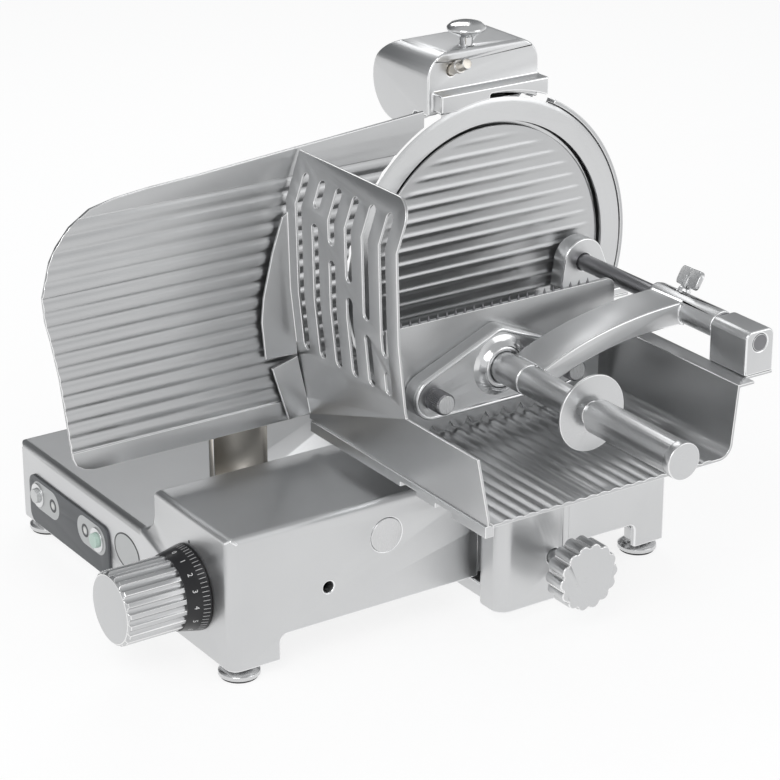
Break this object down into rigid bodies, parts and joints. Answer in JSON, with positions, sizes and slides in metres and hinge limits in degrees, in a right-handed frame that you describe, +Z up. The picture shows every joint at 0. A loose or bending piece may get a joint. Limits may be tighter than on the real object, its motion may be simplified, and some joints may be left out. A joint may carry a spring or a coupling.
{
  "type": "electric vertical slicer",
  "caption": "Electric vertical food slicer with a round blade, ribbed gauge plate, sliding tray with slotted guard, swinging pusher and a thickness knob.",
  "frame": {"origin": "on the table, at the middle of the front left foot's underside", "axes": "+X along the slicing plane to the right, +Y to the back, square to the blade, +Z up; the operator stands at -Y"},
  "size_m": [0.699, 0.724, 0.5673],
  "materials": {
    "cast_aluminium": "satin anodised",
    "sheet_aluminium": "satin",
    "dark_panel": "matte printed foil",
    "black_dial": "satin black",
    "blade_steel": "ground and polished",
    "steel": "satin",
    "chrome": "polished",
    "rubber": "matte",
    "bronze": "satin",
    "motor_paint": "satin",
    "stone": "rough",
    "lamp_green": "gloss",
    "button_green": "matte",
    "dark_steel": "satin"
  },
  "bodies": {
    "base": {"base_casting": "cast_aluminium", "bottom_cover": "sheet_aluminium", "cover_screws": "steel", "foot_cups": "steel", "foot_pads": "rubber", "front_plug": "steel", "panel_plate": "dark_panel", "button_bezels": "chrome", "panel_lamps": "lamp_green", "inlet_bush": "rubber", "motor": "motor_paint", "motor_cover": "cast_aluminium", "drive_belt": "rubber", "blade_carrier": "cast_aluminium", "blade_bearings": "steel", "blade_cover": "sheet_aluminium", "ring_guard": "steel", "guard_screws": "steel", "sharpener_body": "cast_aluminium", "index_bush": "bronze", "gauge_rods": "steel", "carriage_rods": "steel"},
    "start_button": {"start_button": "button_green"},
    "stop_button": {"stop_button": "chrome"},
    "index": {"index_knob": "cast_aluminium", "index_dial": "black_dial", "index_shaft": "steel"},
    "gauge": {"gauge_slider": "cast_aluminium", "gauge_post": "steel", "gauge_plate": "sheet_aluminium", "gauge_screws": "steel"},
    "blade": {"blade": "blade_steel", "blade_shaft": "steel", "blade_pulley": "steel", "blade_screws": "steel"},
    "motor_rotor": {"motor_pulley": "steel"},
    "cover_knob": {"cover_knob": "black_dial"},
    "sharpener_head": {"sharpener_knob": "chrome"},
    "grinding_stone": {"grinding_stone": "stone"},
    "deburring_stone": {"deburring_stone": "stone"},
    "sharpener_pin": {"sharpener_pin": "chrome"},
    "carriage": {"carriage_arm": "cast_aluminium", "slider_block": "cast_aluminium", "slider_bushes": "bronze", "arm_bolts": "steel"},
    "lock_knob": {"lock_knob": "cast_aluminium"},
    "tray": {"tray_rails": "cast_aluminium", "tray": "sheet_aluminium", "slotted_guard": "sheet_aluminium", "rear_bracket": "cast_aluminium", "front_block": "cast_aluminium", "pusher_rod": "steel"},
    "pusher_bush": {"pusher_bush": "bronze"},
    "pusher": {"pusher_arm": "cast_aluminium", "pusher_tube": "cast_aluminium", "pusher_handle": "cast_aluminium", "press_flange": "cast_aluminium", "press_pins": "dark_steel", "press_plate": "steel"},
    "wing_screw": {"wing_screw": "cast_aluminium"}
  },
  "joints": [
    {"name": "start_press", "type": "slide", "parent": "base", "child": "start_button", "axis": [1, 0, 0], "range_m": [0, 0.0025], "stiffness_N_per_m": 400},
    {"name": "stop_press", "type": "slide", "parent": "base", "child": "stop_button", "axis": [1, 0, 0], "range_m": [0, 0.0025], "stiffness_N_per_m": 400},
    {"name": "index_turn", "type": "hinge", "parent": "base", "child": "index", "pos_m": [-0.02, 0.057, 0.078], "axis": [1, 0, 0], "range_deg": [0, 330]},
    {"name": "gauge_slide", "type": "slide", "parent": "base", "child": "gauge", "axis": [0, 1, 0], "range_m": [0, 0.014]},
    {"name": "blade_spin", "type": "hinge", "parent": "base", "child": "blade", "pos_m": [0.394, 0.138, 0.312], "axis": [0, 1, 0], "continuous": true},
    {"name": "motor_spin", "type": "hinge", "parent": "base", "child": "motor_rotor", "pos_m": [0.394, 0.2, 0.17], "axis": [0, 1, 0], "continuous": true},
    {"name": "cover_knob_turn", "type": "hinge", "parent": "base", "child": "cover_knob", "pos_m": [0.394, 0.25, 0.312], "axis": [0, 1, 0], "range_deg": [0, 330]},
    {"name": "sharpener_lower", "type": "slide", "parent": "base", "child": "sharpener_head", "axis": [0, 0, 1], "range_m": [-0.009, 0]},
    {"name": "grinding_spin", "type": "hinge", "parent": "sharpener_head", "child": "grinding_stone", "pos_m": [0.355, 0.152, 0.497], "axis": [0, 1, 0], "continuous": true},
    {"name": "deburring_spin", "type": "hinge", "parent": "sharpener_head", "child": "deburring_stone", "pos_m": [0.397, 0.152, 0.497], "axis": [0, 1, 0], "continuous": true},
    {"name": "sharpener_press", "type": "slide", "parent": "base", "child": "sharpener_pin", "axis": [0, 0.9063, -0.4226], "range_m": [0, 0.004], "stiffness_N_per_m": 400},
    {"name": "carriage_slide", "type": "slide", "parent": "base", "child": "carriage", "axis": [1, 0, 0], "range_m": [-0.22, 0.12]},
    {"name": "lock_turn", "type": "hinge", "parent": "carriage", "child": "lock_knob", "pos_m": [0.33, -0.071, 0.068], "axis": [0, 1, 0], "range_deg": [0, 330]},
    {"name": "tray_slide", "type": "slide", "parent": "carriage", "child": "tray", "axis": [0, 1, 0], "range_m": [-0.07, 0]},
    {"name": "pusher_slide", "type": "slide", "parent": "tray", "child": "pusher_bush", "axis": [0, 1, 0], "range_m": [0, 0.09]},
    {"name": "pusher_swing", "type": "hinge", "parent": "pusher_bush", "child": "pusher", "pos_m": [0.503, 0, 0.295], "axis": [0, 1, 0], "range_deg": [0, 100]},
    {"name": "wing_turn", "type": "hinge", "parent": "pusher", "child": "wing_screw", "pos_m": [0.503, -0.0427, 0.295], "axis": [0.5, 0, 0.866], "range_deg": [0, 90]}
  ],
  "couplings": [
    {"joint": "gauge_slide", "follows": "index_turn", "m_per_rad": 0.0024307},
    {"joint": "motor_spin", "follows": "blade_spin", "ratio": 2}
  ]
}
